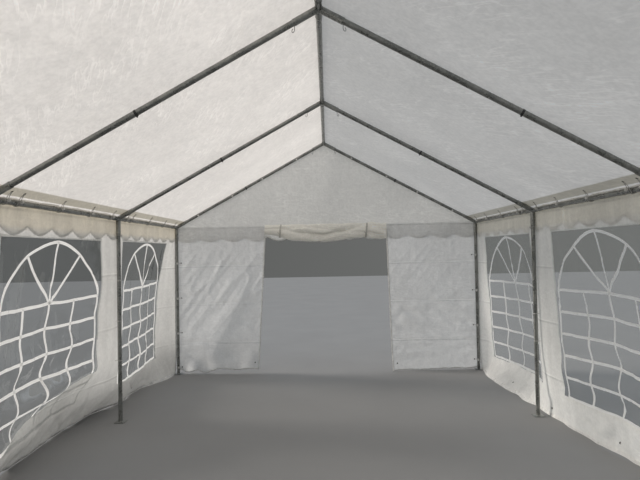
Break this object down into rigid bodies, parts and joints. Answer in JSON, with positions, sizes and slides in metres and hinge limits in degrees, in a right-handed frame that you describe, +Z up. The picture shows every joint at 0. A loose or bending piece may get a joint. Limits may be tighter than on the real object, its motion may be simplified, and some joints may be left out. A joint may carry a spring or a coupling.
{
  "type": "marquee tent",
  "caption": "Ridged party tent on a frame of round steel tubes, with a scalloped roof cover, windowed side walls, and end walls with rolled-up doors.",
  "frame": {"origin": "on the ground, at the middle of the tent's plan", "axes": "+Y along the ridge, +X across the tent to the right wall, +Z up"},
  "size_m": [4.6556, 8.1, 3.0786],
  "materials": {
    "galvanised_steel": "dull galvanised tube",
    "roof_cloth": "white coated polyethylene weave",
    "wall_cloth": "white coated polyethylene weave",
    "window_film": "clear soft film"
  },
  "bodies": {
    "root": {"apex_connector_1": "galvanised_steel", "apex_connector_2": "galvanised_steel", "apex_connector_3": "galvanised_steel", "apex_connector_4": "galvanised_steel", "apex_connector_5": "galvanised_steel", "left_eave_connector_1": "galvanised_steel", "left_eave_connector_2": "galvanised_steel", "left_eave_connector_3": "galvanised_steel", "left_eave_connector_4": "galvanised_steel", "left_eave_connector_5": "galvanised_steel", "right_eave_connector_1": "galvanised_steel", "right_eave_connector_2": "galvanised_steel", "right_eave_connector_3": "galvanised_steel", "right_eave_connector_4": "galvanised_steel", "right_eave_connector_5": "galvanised_steel", "left_leg_1": "galvanised_steel", "left_leg_2": "galvanised_steel", "left_leg_3": "galvanised_steel", "left_leg_4": "galvanised_steel", "left_leg_5": "galvanised_steel", "right_leg_1": "galvanised_steel", "right_leg_2": "galvanised_steel", "right_leg_3": "galvanised_steel", "right_leg_4": "galvanised_steel", "right_leg_5": "galvanised_steel", "left_rafter_1": "galvanised_steel", "left_rafter_2": "galvanised_steel", "left_rafter_3": "galvanised_steel", "left_rafter_4": "galvanised_steel", "left_rafter_5": "galvanised_steel", "right_rafter_1": "galvanised_steel", "right_rafter_2": "galvanised_steel", "right_rafter_3": "galvanised_steel", "right_rafter_4": "galvanised_steel", "right_rafter_5": "galvanised_steel", "ridge_pole_1": "galvanised_steel", "ridge_pole_2": "galvanised_steel", "ridge_pole_3": "galvanised_steel", "ridge_pole_4": "galvanised_steel", "left_eave_rail_1": "galvanised_steel", "left_eave_rail_2": "galvanised_steel", "left_eave_rail_3": "galvanised_steel", "left_eave_rail_4": "galvanised_steel", "right_eave_rail_1": "galvanised_steel", "right_eave_rail_2": "galvanised_steel", "right_eave_rail_3": "galvanised_steel", "right_eave_rail_4": "galvanised_steel", "roof_cover": "roof_cloth", "front_gable_panel": "roof_cloth", "rear_gable_panel": "roof_cloth", "front_end_wall": "wall_cloth", "rear_end_wall": "wall_cloth", "front_rolled_door": "wall_cloth", "rear_rolled_door": "wall_cloth", "left_side_wall": "wall_cloth", "right_side_wall": "wall_cloth", "left_window_film": "window_film", "right_window_film": "window_film"}
  },
  "joints": []
}
